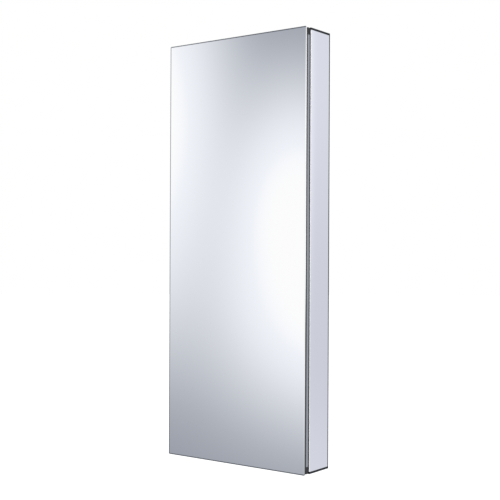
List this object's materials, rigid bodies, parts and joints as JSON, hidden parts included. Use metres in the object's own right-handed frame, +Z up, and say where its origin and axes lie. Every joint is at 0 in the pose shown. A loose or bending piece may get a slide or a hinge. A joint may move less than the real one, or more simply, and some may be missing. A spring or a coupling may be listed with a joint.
{
  "type": "medicine cabinet",
  "caption": "Tall slim wall-hung medicine cabinet with a mirrored door on concealed hinges, mirrored sides, and glass shelves on pins inside.",
  "frame": {"origin": "centre of the four wall-screw holes, on the plane of the wall", "axes": "+Z up, +Y into the wall, +X to the right of someone who faces the door"},
  "size_m": [0.4, 0.1, 1],
  "materials": {
    "mirror_glass": "silvered float glass with polished arrises",
    "clear_glass": "clear glass with polished edges",
    "satin_aluminium": "satin anodised",
    "dark_trim": "dark anodised",
    "nickel_steel": "nickel plated",
    "black_plastic": "fine moulded grain",
    "black_foam": "closed-cell foam tape, seal and gasket",
    "clear_silicone": "clear soft dots"
  },
  "bodies": {
    "case": {"side_wall_left": "satin_aluminium", "side_wall_right": "satin_aluminium", "top_panel": "satin_aluminium", "bottom_panel": "satin_aluminium", "back_panel": "satin_aluminium", "back_mirror": "mirror_glass", "side_mirror_left": "mirror_glass", "side_mirror_right": "mirror_glass", "side_trim_left": "dark_trim", "side_trim_right": "dark_trim", "corner_bracket_top_left": "nickel_steel", "corner_bracket_top_right": "nickel_steel", "corner_bracket_bottom_left": "nickel_steel", "corner_bracket_bottom_right": "nickel_steel", "bracket_screws": "nickel_steel", "back_rivets": "nickel_steel", "glass_shelf_1": "clear_glass", "glass_shelf_2": "clear_glass", "glass_shelf_3": "clear_glass", "glass_shelf_4": "clear_glass", "shelf_pins": "nickel_steel", "door_bumpers": "clear_silicone", "hinge_plate_upper": "nickel_steel", "hinge_plate_middle": "nickel_steel", "hinge_plate_lower": "nickel_steel", "hinge_arm_upper": "nickel_steel", "hinge_arm_middle": "nickel_steel", "hinge_arm_lower": "nickel_steel", "hinge_cover_upper": "nickel_steel", "hinge_cover_middle": "nickel_steel", "hinge_cover_lower": "nickel_steel", "hinge_plate_screws": "nickel_steel", "hinge_arm_screws": "nickel_steel"},
    "door": {"door_mirror": "mirror_glass", "bond_tape": "black_foam", "edge_seal": "black_foam", "door_stile_left": "satin_aluminium", "door_stile_right": "satin_aluminium", "door_rail_top": "satin_aluminium", "door_rail_bottom": "satin_aluminium", "corner_connector_top_left": "black_plastic", "corner_connector_top_right": "black_plastic", "corner_connector_bottom_left": "black_plastic", "corner_connector_bottom_right": "black_plastic", "connector_screws": "nickel_steel", "rear_mirror": "mirror_glass", "rear_mirror_gasket": "black_foam", "hinge_cup_upper": "nickel_steel", "hinge_cup_middle": "nickel_steel", "hinge_cup_lower": "nickel_steel", "hinge_pins": "nickel_steel", "hinge_springs": "nickel_steel", "hinge_cup_screws": "nickel_steel"}
  },
  "joints": [
    {"name": "door_hinge", "type": "hinge", "parent": "case", "child": "door", "pos_m": [-0.1925, -0.0898, 0], "axis": [0, 0, -1], "range_deg": [0, 105]}
  ]
}
